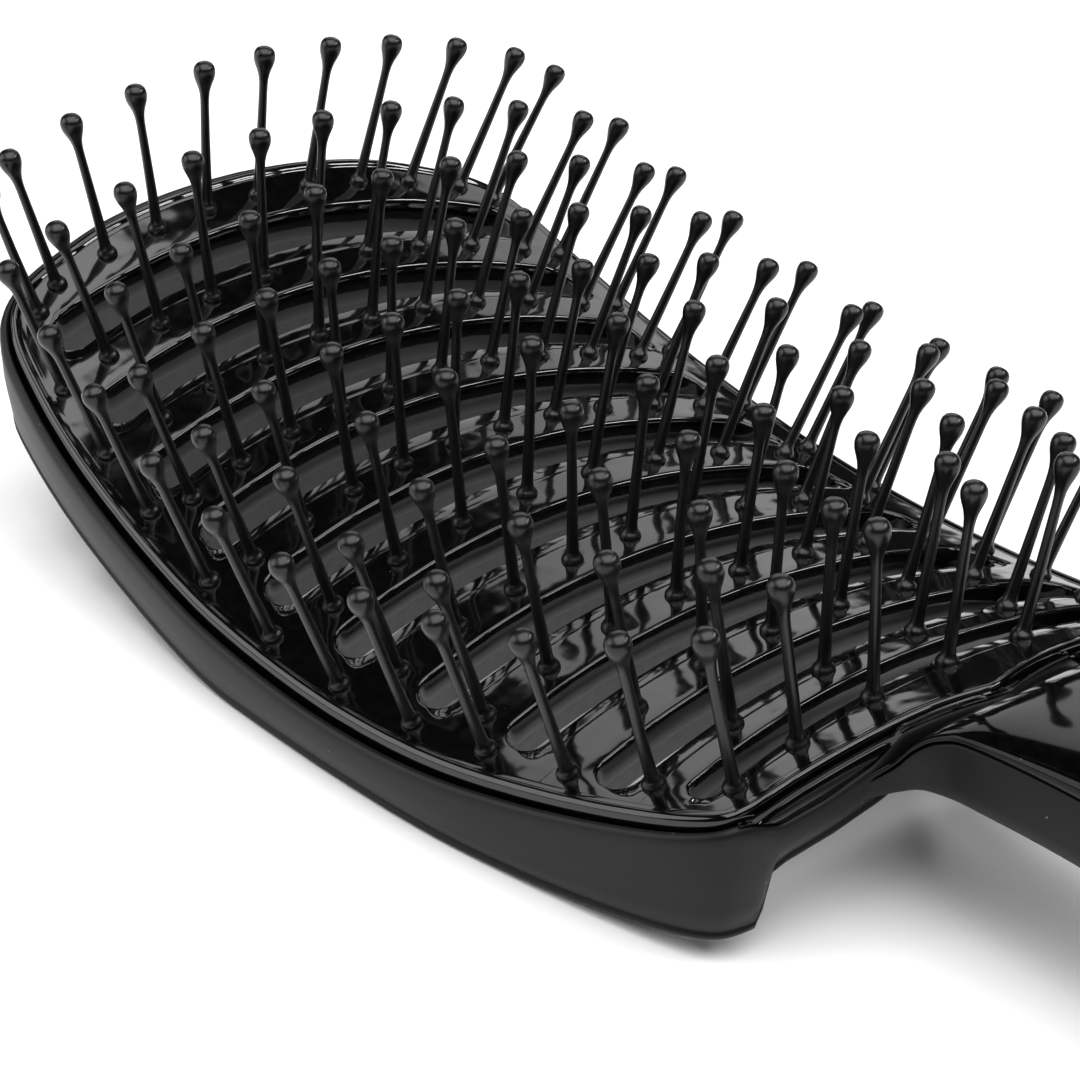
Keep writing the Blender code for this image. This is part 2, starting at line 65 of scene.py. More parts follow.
# Lower shell round the head
# The ring wall that the pin plate sits in, moulded in black plastic with a soft matte feel, in one with the
# handle's lower half. It has a fine lip at its foot and a soft lip at its top. Across the end wall its foot
# is cut away in an arch up to the neck, and its top drops to the seam with the handle's cover.
MM = 0.001
LENGTH = CAD_HIGH.x - CAD_LOW.x
TIP = CAD_LOW.x
HEAD_SHARE = 0.44426
HEAD_LENGTH = LENGTH * HEAD_SHARE
WIDTH_SHARE = 0.999
HALF_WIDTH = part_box("lower_shell")[1].y * WIDTH_SHARE
SHEET_HEIGHT = 11.3 * MM
SHEET_LONG_RADIUS = 144.7 * MM
SHEET_CROSS_RADIUS = 115.6 * MM
SHEET_LOWEST_SHARE = 0.639
TIP_LIFT = 13.0 * MM
TIP_LIFT_POWER = 1.4
FLAT_START_SHARE = 0.48
END_LIFT = 2.2 * MM
END_LIFT_POWER = 2.0
FLAT_END_SHARE = 0.735
CURVE_STEPS = 60
OUTLINE_STEP = 0.7 * MM
OUTLINE_SHARES = (
    (0.000, 0.00),
    (0.002, 0.24),
    (0.008, 0.46),
    (0.020, 0.64),
    (0.031, 0.76),
    (0.046, 0.84),
    (0.068, 0.89),
    (0.110, 0.93),
    (0.220, 0.972),
    (0.390, 0.998),
    (0.480, 1.00),
    (0.610, 0.985),
    (0.720, 0.955),
    (0.815, 0.905),
    (0.905, 0.845),
    (0.960, 0.798),
    (0.989, 0.750),
    (0.999, 0.680),
    (1.000, 0.560),
    (1.001, 0.440),
    (1.003, 0.300),
    (1.006, 0.190),
    (1.012, 0.100),
    (1.018, 0.040),
    (1.020, 0.000),
)


def points_along(line, shares):
    """Points at shares of a line's length in plan, straight between the line's own points."""
    steps = np.linalg.norm(np.diff(line[:, :2], axis=0), axis=1)
    along = np.concatenate(([0], np.cumsum(steps)))
    return np.stack([np.interp(shares * along[-1], along, column) for column in line.T], axis=1)


def smooth_curve(points, count):
    """Even steps along the Catmull-Rom curve through points.

    From b to c it is (2b + (c-a)t + (2a-5b+4c-d)t^2 + (3b-a-3c+d)t^3) / 2, with a before b and d after c.
    """
    points = np.asarray(points, float)
    padded = np.vstack((2 * points[0] - points[1], points, 2 * points[-1] - points[-2]))
    a, b, c, d = (padded[i:len(padded) - 3 + i, None, :] for i in range(4))
    t = np.linspace(0, 1, CURVE_STEPS, endpoint=False)[None, :, None]
    squared = 2 * a - 5 * b + 4 * c - d
    cubed = 3 * b - a - 3 * c + d
    dense = (2 * b + (c - a) * t + squared * t ** 2 + cubed * t ** 3) / 2
    dense = np.vstack((dense.reshape(-1, points.shape[1]), points[-1]))
    return points_along(dense, np.linspace(0, 1, count))


def head_outline():
    """Closed plan outline of the head, and at each point its outward direction, square to the way along."""
    half = np.array(OUTLINE_SHARES) * (HEAD_LENGTH, HALF_WIDTH) + (TIP, 0)
    length = np.linalg.norm(np.diff(half, axis=0), axis=1).sum()
    half = smooth_curve(half, int(length / OUTLINE_STEP))
    loop = np.vstack((half, half[-2:0:-1] * (1, -1)))
    along = np.roll(loop, -1, axis=0) - np.roll(loop, 1, axis=0)
    outward = np.stack((-along[:, 1], along[:, 0]), axis=1)
    return loop, outward / np.linalg.norm(outward, axis=1, keepdims=True)


OUTLINE, OUTWARD = head_outline()


def set_in(distance):
    """The head's outline moved inwards by a distance."""
    return OUTLINE - OUTWARD * distance


def sheet(x, y):
    """Height of the pin plate's face: an arc along the head less an arc across it."""
    from_lowest = x - TIP - HEAD_LENGTH * SHEET_LOWEST_SHARE
    along = SHEET_LONG_RADIUS - np.sqrt(SHEET_LONG_RADIUS ** 2 - from_lowest ** 2)
    across = SHEET_CROSS_RADIUS - np.sqrt(SHEET_CROSS_RADIUS ** 2 - y ** 2)
    return SHEET_HEIGHT + along - across


def lower_edge(x):
    """Height of the shell's lower edge, which lies on the floor under the middle.

    Towards the tip it is a lift times a power of the share of the way there, and so it is towards the end.
    """
    share = (x - TIP) / HEAD_LENGTH
    before = np.maximum(0, FLAT_START_SHARE - share) / FLAT_START_SHARE
    after = np.clip((share - FLAT_END_SHARE) / (1 - FLAT_END_SHARE), 0, 1)
    return TIP_LIFT * before ** TIP_LIFT_POWER + END_LIFT * after ** END_LIFT_POWER


def smooth_step(value):
    """0 up to 0, 1 from 1 on, and 3v^2 - 2v^3 between."""
    value = np.clip(value, 0, 1)
    return value * value * (3 - 2 * value)


def lofted(name, rows, close_along=False, close_round=True):
    """Mesh through a grid of points: face (i, j) joins (i, j), (i, j+1), (i+1, j+1) and (i+1, j)."""
    rows = np.asarray(rows, float)
    count, size = rows.shape[:2]
    i = np.arange(count if close_along else count - 1)[:, None]
    j = np.arange(size if close_round else size - 1)[None, :]
    after_i, after_j = (i + 1) % count, (j + 1) % size
    corners = (i * size + j, i * size + after_j, after_i * size + after_j, after_i * size + j)
    quads = np.stack(np.broadcast_arrays(*corners), axis=-1)
    mesh = bpy.data.meshes.new(name)
    mesh.from_pydata(rows.reshape(-1, 3).tolist(), [], quads.reshape(-1, 4).tolist())
    mesh.update()
    mesh.shade_smooth()
    item = bpy.data.objects.new(name, mesh)
    bpy.context.scene.collection.objects.link(item)
    return item


WELD_DISTANCE = 0.002 * MM


def face_out(item):
    """Welds what meets and turns the faces outwards."""
    body = bmesh.new()
    body.from_mesh(item.data)
    bmesh.ops.remove_doubles(body, verts=body.verts, dist=WELD_DISTANCE)
    bmesh.ops.recalc_face_normals(body, faces=body.faces)
    body.to_mesh(item.data)
    body.free()
    item.data.shade_smooth()
    return item


def place(item, material, slot, *nodes):
    """Gives a finished piece its material and its body, and hides the CAD nodes that it stands for. The slot
    is not used.
    """
    item.data.materials.clear()
    item.data.materials.append(material)
    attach(item, "root")
    if nodes:
        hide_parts(*nodes)
    return item


# Places of a Mix node's factor and two colours among its inputs, and of its colour among its outputs
MIX_INPUTS = (0, 6, 7)
MIX_OUTPUT = 2


class Wire:
    """A socket of a node tree. Adding to it or multiplying it adds a Math node."""

    def __init__(self, tree, socket):
        self.tree = tree
        self.socket = socket

    def node(self, kind, settings=(), inputs=(), output=0):
        """Adds a node: its settings are set first, then its sockets get values or other wires."""
        made = self.tree.nodes.new(kind)
        for key, value in settings:
            setattr(made, key, value)
        for key, value in inputs:
            if isinstance(value, Wire):
                self.tree.links.new(value.socket, made.inputs[key])
            else:
                made.inputs[key].default_value = value
        return Wire(self.tree, made.outputs[output])

    def maths(self, operation, other):
        return self.node("ShaderNodeMath", (("operation", operation),), ((0, self), (1, other)))

    def __add__(self, other):
        return self.maths("ADD", other)

    def __mul__(self, other):
        return self.maths("MULTIPLY", other)

    __radd__ = __add__
    __rmul__ = __mul__

    def ramp(self, zero_at, one_at):
        """0 at zero_at and beyond it, 1 at one_at and beyond it, and smooth between."""
        inputs = (("Value", self), ("From Min", zero_at), ("From Max", one_at))
        return self.node("ShaderNodeMapRange", (("interpolation_type", "SMOOTHSTEP"),), inputs)

    def noise(self, scale, detail):
        return self.node("ShaderNodeTexNoise", (), (("Vector", self), ("Scale", scale), ("Detail", detail)))

    def cells(self, scale):
        """Distance to the nearest of scattered points."""
        return self.node("ShaderNodeTexVoronoi", (), (("Vector", self), ("Scale", scale)))

    def mix(self, first, second):
        """Colour first where this wire is 0 and second where it is 1."""
        inputs = zip(MIX_INPUTS, (self, first, second))
        return self.node("ShaderNodeMix", (("data_type", "RGBA"),), inputs, MIX_OUTPUT)

    def bump(self, strength, distance):
        inputs = (("Height", self), ("Strength", strength), ("Distance", distance))
        return self.node("ShaderNodeBump", (), inputs)


def new_material(name, **constants):
    """A Principled material with constant socket values, its shader and a wire of object coordinates."""
    material = bpy.data.materials.new(name)
    material.use_nodes = True
    tree = material.node_tree
    shader = tree.nodes["Principled BSDF"]
    for key, value in constants.items():
        shader.inputs[key.replace("_", " ")].default_value = value
    coordinates = tree.nodes.new("ShaderNodeTexCoord")
    return material, shader, Wire(tree, coordinates.outputs["Object"])


def feed(shader, key, wire):
    wire.tree.links.new(wire.socket, shader.inputs[key])


def grey(value):
    return (value, value, value, 1)


MATTE_GREY = 0.0045
MATTE_WORN_GREY = 0.007
MATTE_DUST_GREY = 0.13
MATTE_SHEEN = 0.20
MATTE_ROUGHNESS = 0.34
MATTE_ROUGHNESS_CHANGE = 0.12
CLOUD_SCALE = 60
CLOUD_RAMP = (0.3, 0.7)
GRAIN_SCALE = 5200
GRAIN_STRENGTH = 0.12
GRAIN_HEIGHT = 0.03 * MM
MATTE_DUST_SCALE = 420
MATTE_DUST_RAMP = (0.055, 0.03)


def soft_touch():
    """Matte black with a fine grain, faint cloudy wear and a few specks of dust."""
    material, shader, spot = new_material("soft_touch_black", Specular_IOR_Level=MATTE_SHEEN)
    clouds = spot.noise(CLOUD_SCALE, detail=3)
    grain = spot.noise(GRAIN_SCALE, detail=2)
    specks = spot.cells(MATTE_DUST_SCALE).ramp(*MATTE_DUST_RAMP)
    colour = clouds.ramp(*CLOUD_RAMP).mix(grey(MATTE_GREY), grey(MATTE_WORN_GREY))
    feed(shader, "Base Color", specks.mix(colour, grey(MATTE_DUST_GREY)))
    feed(shader, "Roughness", clouds * MATTE_ROUGHNESS_CHANGE + MATTE_ROUGHNESS)
    feed(shader, "Normal", grain.bump(GRAIN_STRENGTH, GRAIN_HEIGHT))
    return material


MATTE = soft_touch()
WALL = 2.0 * MM
WALL_LEAN = 0.8 * MM
WALL_BOW = 1.3
WALL_SHARES = (0.25, 0.5, 0.75)
LEAST_WALL = 0.2 * MM
LIP_DROP = 0.6 * MM
LIP_WIDTH = 0.8 * MM
SEAT_DEPTH = 3.0 * MM
SEAT_REACH = 3.4 * MM
SEAT_THICKNESS = 1.4 * MM
SEAT_ROOT = 0.4 * MM
SEAT_ROOT_DEPTH = 2.6 * MM
END_SHARE = 0.975
END_HALF_WIDTH = 26.6 * MM
END_CHANGE = 5.5 * MM
ARCH_HALF_WIDTH = 22.6 * MM
ARCH_SHARES = ((0.0, 10.4), (0.376, 10.1), (0.47, 9.0), (0.68, 7.8), (0.894, 7.1), (0.98, 6.5), (1.0, 0.0))
SEAM_SHARES = ((0.0, 16.5), (0.27, 15.5), (0.35, 13.4), (0.48, 12.1), (0.63, 11.5), (1.0, 11.5))

# The foot's lip, as how far in from the leaning wall's foot and how far up
FOOT_LIP = (
    (WALL, 0.0),
    (0.55 * MM, 0.0),
    (0.2 * MM, 0.1 * MM),
    (0.0, 0.35 * MM),
    (0.0, 0.62 * MM),
    (0.16 * MM, 0.74 * MM),
    (0.14 * MM, 0.86 * MM),
    (-0.02 * MM, 1.0 * MM),
)

# The top's lip and the seat under the plate, as how far in from the outline and how far down
TOP_LIP = (
    (0.06 * MM, 2.4 * MM),
    (0.0, 1.7 * MM),
    (0.03 * MM, 1.25 * MM),
    (0.13 * MM, 0.92 * MM),
    (0.32 * MM, 0.68 * MM),
    (0.5 * MM, LIP_DROP),
    (0.7 * MM, 0.64 * MM),
    (LIP_WIDTH, 0.82 * MM),
    (LIP_WIDTH, SEAT_DEPTH),
    (SEAT_REACH, SEAT_DEPTH),
    (SEAT_REACH, SEAT_DEPTH + SEAT_THICKNESS),
    (WALL_LEAN + WALL + SEAT_ROOT, SEAT_DEPTH + SEAT_ROOT_DEPTH),
)
ON_END = OUTLINE[:, 0] > TIP + HEAD_LENGTH * END_SHARE


def end_weight():
    """1 on the end wall and 0 round the rest of the head, with a short change at the corners."""
    return ON_END * smooth_step((END_HALF_WIDTH - np.abs(OUTLINE[:, 1])) / END_CHANGE)


def wall_top():
    """Height that the wall's lip keeps below round the head: the sheet, and on the end wall the seam."""
    face = sheet(*OUTLINE.T)
    shares, heights = np.array(SEAM_SHARES).T
    seam = np.interp(np.abs(OUTLINE[:, 1]) / HALF_WIDTH, shares, heights * MM) + LIP_DROP
    weight = end_weight()
    return face * (1 - weight) + np.minimum(face, seam) * weight


def wall_foot():
    """Height of the wall's foot: the lower edge, and on the end wall the arch where that is higher."""
    across = np.abs(OUTLINE[:, 1]) / ARCH_HALF_WIDTH
    shares, heights = np.array(ARCH_SHARES).T
    arch = np.interp(across, shares, heights * MM, right=0)
    edge = lower_edge(OUTLINE[:, 0])
    return np.where(ON_END, np.maximum(arch, edge), edge)


def head_shell():
    """The wall's profile carried round the outline: foot's lip, leaning wall, top's lip and seat."""
    face = wall_top()
    foot = wall_foot()
    columns = [(WALL_LEAN + inset, foot + rise) for inset, rise in FOOT_LIP]
    wall_start = foot + FOOT_LIP[-1][1]
    wall_end = face - TOP_LIP[0][1]
    for share in WALL_SHARES:
        columns.append((WALL_LEAN * (1 - share) ** WALL_BOW, wall_start + (wall_end - wall_start) * share))
    for inset, drop in TOP_LIP:
        columns.append((inset, np.maximum(face - drop, foot + LEAST_WALL)))
    rows = [np.column_stack((set_in(inset), height)) for inset, height in columns]
    item = lofted("head_shell", np.stack(rows, axis=1), close_along=True)
    return place(face_out(item), MATTE, "matte_black", "lower_shell")


head_shell()

# Lower half of the handle
# It is moulded in one with the shell, as a slim body with upright sides and a rounded edge along its back.
# The photograph crops it past its neck, so its length and its end are guessed.
HANDLE_HALF_WIDTH = 11.5 * MM
HANDLE_DEPTH = 8.9 * MM
NECK_HEIGHT = 10.7 * MM
COVER_RISE = 4.2 * MM
HANDLE_ROUND = 2.4 * MM
ROUND_STEPS = 9
ROUND_WIDTH_SHARE = 0.8
ROUND_DEPTH_SHARE = 0.6
BACK_SHARES = (0.6, 0.0)
STATION_COUNT = 260

# The rounding under the seam, as how far in from the side and how far down
SEAM_ROUNDING = (
    (1.4 * MM, 0.0),
    (0.25 * MM, 0.0),
    (0.07 * MM, 0.07 * MM),
    (0.0, 0.25 * MM),
)

# Place along the handle, half width, lower edge, depth to the seam and rise of the cover, as shares
HANDLE_SHARES = (
    (-0.003, 1.240, 0.98, 0.11, 0.30),
    (0.0070, 1.000, 1.00, 0.27, 0.30),
    (0.0145, 0.905, 1.00, 0.45, 0.28),
    (0.0276, 0.835, 1.00, 0.60, 0.26),
    (0.0505, 0.790, 1.00, 0.68, 0.32),
    (0.1270, 0.720, 0.98, 0.72, 0.55),
    (0.2260, 0.730, 0.93, 0.77, 0.75),
    (0.3700, 0.820, 0.77, 0.85, 0.90),
    (0.5410, 0.940, 0.46, 0.93, 1.00),
    (0.7120, 1.000, 0.16, 0.98, 1.00),
    (0.8470, 0.960, 0.01, 1.00, 0.98),
    (0.9280, 0.820, 0.00, 0.98, 0.90),
    (0.9750, 0.560, 0.06, 0.92, 0.70),
    (1.0000, 0.240, 0.16, 0.84, 0.45),
)
FULL_SIZES = (LENGTH - HEAD_LENGTH, HANDLE_HALF_WIDTH, NECK_HEIGHT, HANDLE_DEPTH, COVER_RISE)
STATIONS = smooth_curve(np.array(HANDLE_SHARES) * FULL_SIZES, STATION_COUNT)
HANDLE_X = TIP + HEAD_LENGTH + STATIONS[:, :1]
HANDLE_HALF = STATIONS[:, 1:2]
HANDLE_LOW = np.maximum(STATIONS[:, 2:3], 0)
HANDLE_SEAM = HANDLE_LOW + STATIONS[:, 3:4]
HANDLE_RISE = STATIONS[:, 4:]


def close_ends(item, size):
    """Adds a flat face at each end of a loft whose rows hold size points."""
    body = bmesh.new()
    body.from_mesh(item.data)
    body.verts.ensure_lookup_table()
    body.faces.new(body.verts[:size])
    body.faces.new(body.verts[len(body.verts) - size:])
    body.to_mesh(item.data)
    body.free()
    return item


def handle_shell():
    """Half a section, mirrored, at each station: seam's rounding, upright side, quarter circle and back."""
    turn = np.linspace(0, math.pi / 2, ROUND_STEPS)
    reach = np.minimum(HANDLE_HALF * ROUND_WIDTH_SHARE, (HANDLE_SEAM - HANDLE_LOW) * ROUND_DEPTH_SHARE)
    reach = np.minimum(HANDLE_ROUND, reach)
    y = [HANDLE_HALF - inset for inset, _ in SEAM_ROUNDING]
    z = [HANDLE_SEAM - drop for _, drop in SEAM_ROUNDING]
    y.append(HANDLE_HALF - reach * (1 - np.cos(turn)))
    z.append(HANDLE_LOW + reach * (1 - np.sin(turn)))
    for share in BACK_SHARES:
        y.append((HANDLE_HALF - reach) * share)
        z.append(HANDLE_LOW)
    y, z = np.hstack(y), np.hstack(z)
    y = np.hstack((y, -y[:, -2::-1]))
    z = np.hstack((z, z[:, -2::-1]))
    item = lofted("handle_shell", np.stack((HANDLE_X + 0 * y, y, z), axis=-1))
    return place(face_out(close_ends(item, y.shape[1])), MATTE, "matte_black")


handle_shell()

# Handle's cover
# The glossy top half of the handle, a black moulding that closes the lower half along a fine seam. At the
# head it dips under the pin plate's rim.
GAP = 0.3 * MM
COVER_POWER = 2.9
COVER_STEPS = 45
COVER_CLEARANCE = 0.9 * MM
COVER_CLIMB = 0.8
COVER_DIP_REACH = 4 * MM
GLOSS_GREY = 0.0008
GLOSS_SPOT_GREY = 0.0020
GLOSS_DUST_GREY = 0.05
GLOSS_ROUGHNESS = 0.05
GLOSS_ROUGHNESS_CHANGE = 0.06
WAVE_SCALE = 150
WAVE_HEIGHT = 0.35 * MM
SPOT_SCALE = 900
SPOT_RAMP = (0.2, 0.8)
GLOSS_DUST_SCALE = 520
GLOSS_DUST_RAMP = (0.045, 0.025)


def polished(name, wave, sheen):
    """Polished black moulding: clear gloss, the faint waves of a cooled skin and a little dust."""
    material, shader, spot = new_material(name, Specular_IOR_Level=sheen)
    waves = spot.noise(WAVE_SCALE, detail=2)
    fine = spot.noise(SPOT_SCALE, detail=2)
    specks = spot.cells(GLOSS_DUST_SCALE).ramp(*GLOSS_DUST_RAMP)
    colour = fine.ramp(*SPOT_RAMP).mix(grey(GLOSS_GREY), grey(GLOSS_SPOT_GREY))
    feed(shader, "Base Color", specks.mix(colour, grey(GLOSS_DUST_GREY)))
    feed(shader, "Roughness", fine * GLOSS_ROUGHNESS_CHANGE + GLOSS_ROUGHNESS)
    feed(shader, "Normal", waves.bump(wave, WAVE_HEIGHT))
    return material


COVER_GLOSS = polished("polished_cover", wave=0.10, sheen=0.20)


def outside_distance(x, y):
    """Distance out from the head's outline, along the outward direction of its nearest point."""
    gap = np.stack((x, y), axis=-1)[..., None, :] - OUTLINE
    nearest = np.argmin((gap ** 2).sum(-1), axis=-1)
    chosen = np.take_along_axis(gap, nearest[..., None, None], axis=-2)[..., 0, :]
    return (chosen * OUTWARD[nearest]).sum(-1)


def handle_cover():
    """A flattened dome over each station, |y/a|^n + |z/b|^n = 1, kept under the sheet near the head."""
    turn = np.linspace(0, math.pi, COVER_STEPS)
    y = HANDLE_HALF * np.sign(np.cos(turn)) * np.abs(np.cos(turn)) ** (2 / COVER_POWER)
    z = HANDLE_SEAM + GAP + HANDLE_RISE * np.abs(np.sin(turn)) ** (2 / COVER_POWER)
    x = HANDLE_X + 0 * y
    outside = outside_distance(x, y)
    limit = sheet(x, np.clip(y, -HALF_WIDTH, HALF_WIDTH)) - COVER_CLEARANCE
    limit += np.maximum(outside, 0) * COVER_CLIMB
    z = np.where(outside < COVER_DIP_REACH, np.minimum(z, limit), z)
    item = lofted("handle_cover_skin", np.stack((x, y, z), axis=-1))
    return place(face_out(close_ends(item, COVER_STEPS)), COVER_GLOSS, "gloss_black", "handle_cover")


handle_cover()

# Cover's lip
# The cover's thin glossy band along the top of the end wall, between the seam and the pin plate's rim. It is
# taken as one moulding with the cover, lying on the wall.
LEAST_END_WEIGHT = 0.02

# Its foot at the seam, as how far in from the outline
LIP_FOOT = (0.35 * MM, 0.08 * MM)

# Its rounded top, as how far in from the outline and how far below the sheet
LIP_TOP = (
    (0.0, 1.5 * MM),
    (0.03 * MM, 1.15 * MM),
    (0.15 * MM, 0.85 * MM),
    (0.35 * MM, 0.66 * MM),
    (0.55 * MM, LIP_DROP),
    (LIP_WIDTH, 0.66 * MM),
    (LIP_WIDTH, 2.0 * MM),
)


def cover_lip():
    """The band's profile carried along the end wall, nowhere below the seam."""
    chosen = end_weight() > LEAST_END_WEIGHT
    top = sheet(*OUTLINE[chosen].T)
    seam = wall_top()[chosen] - LIP_DROP + GAP
    columns = [(inset, seam) for inset in LIP_FOOT]
    columns += [(inset, np.maximum(top - drop, seam)) for inset, drop in LIP_TOP]
    rows = [np.column_stack((set_in(inset)[chosen], height)) for inset, height in columns]
    item = lofted("cover_lip", np.stack(rows, axis=1))
    return place(face_out(item), COVER_GLOSS, "gloss_black")


cover_lip()

# Pin plate
# A glossy black moulding set into the shell's seat, with ten curved slots between eleven bars. Each slot is
# the middle of a cell that reaches to the middle of the bars beside it. Its handle side has a sunk ledge,
# and its tip side a plain rounded edge.
BAR_RADIUS = 161.8 * MM
BAR_EDGE_SHARES = (0.065, 0.156, 0.242, 0.331, 0.425, 0.521, 0.625, 0.726, 0.825, 0.906)
SLOT_WIDTHS = np.array((4.1, 4.1, 4.1, 4.1, 4.1, 4.1, 4.1, 4.1, 4.1, 2.6)) * MM
SLOT_REACHES = np.array((27.8, 28.7, 29.5, 29.8, 29.5, 29.1, 28.5, 27.6, 27.0, 24.6)) * MM
LAST_SLOT = len(BAR_EDGE_SHARES) - 1
TIP_CORNER_SHARE = 0.05
END_CORNER_SHARE = 0.945
PLATE_DEPTH = 2.95 * MM
SLOT_DEPTH = 4.3 * MM
TIP_DEEPENING = 1.0 * MM
SLOT_FLARE = 0.2 * MM
FIELD_INSET = 2.5 * MM
FIELD_OVERLAP = 0.5 * MM
LEDGE_WIDTH = 1.7 * MM
LEDGE_DROP = 0.25 * MM
LEDGE_START = 0.55
SIDE_STEPS = 64
END_STEPS = 20
MEETING_STEPS = 1200
CELL_ROOM_SHARE = 0.9
TOP_SHARES = (0.35, 0.7, 1.0)

# The rounded edge of a slot's tip side, as how far out from the slot and how far down
PLAIN_EDGE = np.array((
    (0.0, 0.46),
    (0.02, 0.36),
    (0.05, 0.26),
    (0.10, 0.17),
    (0.17, 0.10),
    (0.25, 0.05),
    (0.34, 0.015),
    (0.46, 0.0),
)) * MM

# The sunk ledge of its handle side, in the same way
SUNK_EDGE = np.array((
    (0.0, LEDGE_DROP + 0.12 * MM),
    (0.02 * LEDGE_WIDTH, LEDGE_DROP + 0.05 * MM),
    (0.08 * LEDGE_WIDTH, LEDGE_DROP),
    (0.80 * LEDGE_WIDTH, LEDGE_DROP),
    (0.90 * LEDGE_WIDTH, 0.93 * LEDGE_DROP),
    (0.96 * LEDGE_WIDTH, 0.45 * LEDGE_DROP),
    (1.02 * LEDGE_WIDTH, 0.10 * LEDGE_DROP),
    (1.20 * LEDGE_WIDTH, 0.0),
))

# The border's valley, bead, outer wall and underside, as how far in from the outline and how far down
BORDER_PROFILE = (
    (FIELD_INSET + FIELD_OVERLAP, 0.012 * MM),
    (FIELD_INSET, 0.015 * MM),
    (2.1 * MM, 0.06 * MM),
    (1.98 * MM, 0.02 * MM),
    (1.9 * MM, -0.08 * MM),
    (1.78 * MM, -0.2 * MM),
    (1.62 * MM, -0.28 * MM),
    (1.46 * MM, -0.28 * MM),
    (1.3 * MM, -0.2 * MM),
    (1.18 * MM, -0.06 * MM),
    (1.1 * MM, 0.12 * MM),
    (1.1 * MM, 0.6 * MM),
    (1.1 * MM, PLATE_DEPTH),
    (FIELD_INSET + FIELD_OVERLAP, PLATE_DEPTH - 0.01 * MM),
)
PLATE_GLOSS = polished("polished_plate", wave=0.42, sheen=0.55)
FIELD_LINE = set_in(FIELD_INSET)
FIELD_SIDE = FIELD_LINE[FIELD_LINE[:, 1] >= 0]


def field_half_width(x):
    """Half width of the field inside the border at each x."""
    order = np.argsort(FIELD_SIDE[:, 0])
    return np.interp(x, *FIELD_SIDE[order].T)


def wall_depth(x):
    """Depth of a slot's walls below the sheet, growing evenly from the sheet's lowest place to the tip."""
    return SLOT_DEPTH + TIP_DEEPENING * np.maximum(0, 1 - (x - TIP) / (HEAD_LENGTH * SHEET_LOWEST_SHARE))


def bar_x(share, y):
    """Place along the brush of a line that runs with a bar, bent by y^2 / 2R."""
    return TIP + HEAD_LENGTH * share + y ** 2 / (2 * BAR_RADIUS)


def slot_loop(index):
    """Plan line round a slot from the middle of its tip side by +Y, and each point's share across the slot.

    Its sides are bent as the bars are, and its ends are half circles.
    """
    width = SLOT_WIDTHS[index]
    reach = SLOT_REACHES[index] - width / 2
    side = np.linspace(0, 1, SIDE_STEPS) * reach
    turn = np.linspace(0, math.pi, END_STEPS + 2)[1:-1]
    y = np.concatenate((side, reach + width / 2 * np.sin(turn), side[::-1]))
    across = np.concatenate((0 * side, width / 2 * (1 - np.cos(turn)), 0 * side + width))
    y = np.concatenate((y, -y[-2:0:-1]))
    across = np.concatenate((across, across[-2:0:-1]))
    return np.column_stack((bar_x(BAR_EDGE_SHARES[index], y) + across, y)), across / width


def bar_middle(index):
    """Share of the head at the middle of the bar on a slot's tip side."""
    far_edge = BAR_EDGE_SHARES[index - 1] + SLOT_WIDTHS[index - 1] / HEAD_LENGTH
    return (BAR_EDGE_SHARES[index] + far_edge) / 2


def bar_side(share, size):
    """Points along a bar's middle line, at shares of the way from the brush's middle to the field's line."""
    y = np.linspace(0, HALF_WIDTH, MEETING_STEPS)
    beyond = y > field_half_width(bar_x(share, y))
    y = size * y[beyond.argmax()]
    return np.column_stack((bar_x(share, y), y))


def edge_arc(size, corner_share):
    """Points along the field's line at the head's tip or end, from the middle out to a corner there."""
    centre_x = TIP + HEAD_LENGTH * SHEET_LOWEST_SHARE
    corner_x = TIP + HEAD_LENGTH * corner_share
    line = FIELD_SIDE[(FIELD_SIDE[:, 0] < centre_x) == (corner_x < centre_x)]
    line = line[np.argsort(np.arctan2(line[:, 1], np.abs(line[:, 0] - centre_x)))]
    corner = np.abs(line[:, 0] - corner_x).argmin()
    return points_along(line[:corner + 1], size)


def cell_rim(index, loop, blend):
    """Outer line of a slot's cell: the middles of the bars beside it, closed along the field's line."""
    size = np.abs(loop[:, 1]) / SLOT_REACHES[index]
    low_side = edge_arc(size, TIP_CORNER_SHARE) if index == 0 else bar_side(bar_middle(index), size)
    if index == LAST_SLOT:
        high_side = edge_arc(size, END_CORNER_SHARE)
    else:
        high_side = bar_side(bar_middle(index + 1), size)
    rim = np.where(blend[:, None] < 0.5, low_side, high_side)
    start, finish = low_side[size.argmax()], high_side[size.argmax()]
    in_end = (blend > 0) & (blend < 1)
    rim[in_end] = start + (finish - start) * blend[in_end, None]
    rim[in_end, 1] = field_half_width(rim[in_end, 0])
    rim[:, 1] *= np.where(loop[:, 1] < 0, -1, 1)
    return rim


